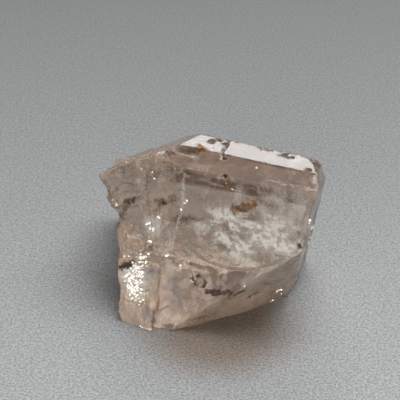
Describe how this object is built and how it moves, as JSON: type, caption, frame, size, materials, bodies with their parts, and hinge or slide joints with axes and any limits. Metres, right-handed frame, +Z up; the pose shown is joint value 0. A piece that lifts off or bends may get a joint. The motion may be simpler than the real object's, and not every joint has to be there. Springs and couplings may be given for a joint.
{
  "type": "topaz crystal",
  "caption": "Stubby pale brown topaz crystal with flat prism faces, a narrow bright top face and a broken left end, lying on its broken underside.",
  "frame": {"origin": "under the middle of the crystal, on the plane that it rests on", "axes": "+Z up from the resting face, +X along the crystal's widest side, +Y away from the prism face with the milky veil"},
  "size_m": [0.022, 0.0192, 0.0155],
  "materials": {
    "topaz": "clear, faintly brown, glassy on the crystal faces and frosted where broken, with milky veils inside",
    "iron_stain": "dull rusty brown crust in pits and cracks"
  },
  "bodies": {
    "root": {"crystal": "topaz"}
  },
  "joints": []
}
